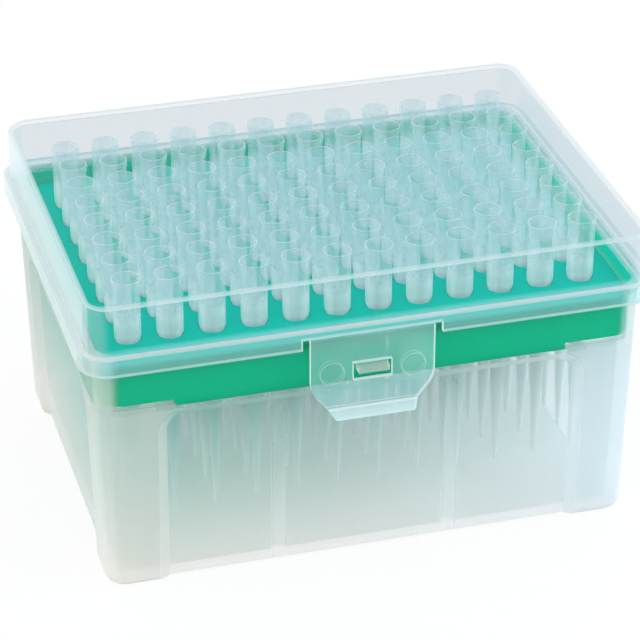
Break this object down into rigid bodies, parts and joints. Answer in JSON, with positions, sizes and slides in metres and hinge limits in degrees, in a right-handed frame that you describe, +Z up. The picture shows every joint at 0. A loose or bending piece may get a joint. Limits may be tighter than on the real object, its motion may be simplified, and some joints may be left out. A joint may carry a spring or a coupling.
{
  "type": "box of pipette tips",
  "caption": "Hinged box of laboratory pipette tips: a frosted tub on corner feet, a green rack holding a grid of clear tips, and a clear lid with a snap latch flap.",
  "frame": {"origin": "middle of the footprint on the surface the box stands on", "axes": "+Z up, -Y towards the latch side, +Y towards the hinge side, +X along the row of twelve columns of tips, to the right seen from the latch"},
  "size_m": [0.124, 0.0992, 0.0694],
  "materials": {
    "tub_plastic": "frosted natural polypropylene, satin outside",
    "lid_plastic": "clear polypropylene, faintly hazy, polished",
    "rack_plastic": "teal green polypropylene, satin",
    "tip_plastic": "clear natural polypropylene, thin-walled"
  },
  "bodies": {
    "base": {"base": "tub_plastic", "rack_plate": "rack_plastic", "tips_column_01": "tip_plastic", "tips_column_02": "tip_plastic", "tips_column_03": "tip_plastic", "tips_column_04": "tip_plastic", "tips_column_05": "tip_plastic", "tips_column_06": "tip_plastic", "tips_column_07": "tip_plastic", "tips_column_08": "tip_plastic", "tips_column_09": "tip_plastic", "tips_column_10": "tip_plastic", "tips_column_11": "tip_plastic", "tips_column_12": "tip_plastic"},
    "lid": {"lid": "lid_plastic"},
    "latch": {"latch_flap": "lid_plastic"}
  },
  "joints": [
    {"name": "lid_hinge", "type": "hinge", "parent": "base", "child": "lid", "pos_m": [0, 0.0474, 0.051], "axis": [-1, 0, 0], "range_deg": [0, 110]},
    {"name": "latch_hinge", "type": "hinge", "parent": "lid", "child": "latch", "pos_m": [-0.0012, -0.04655, 0.0557], "axis": [-1, 0, 0], "range_deg": [0, 100]}
  ]
}
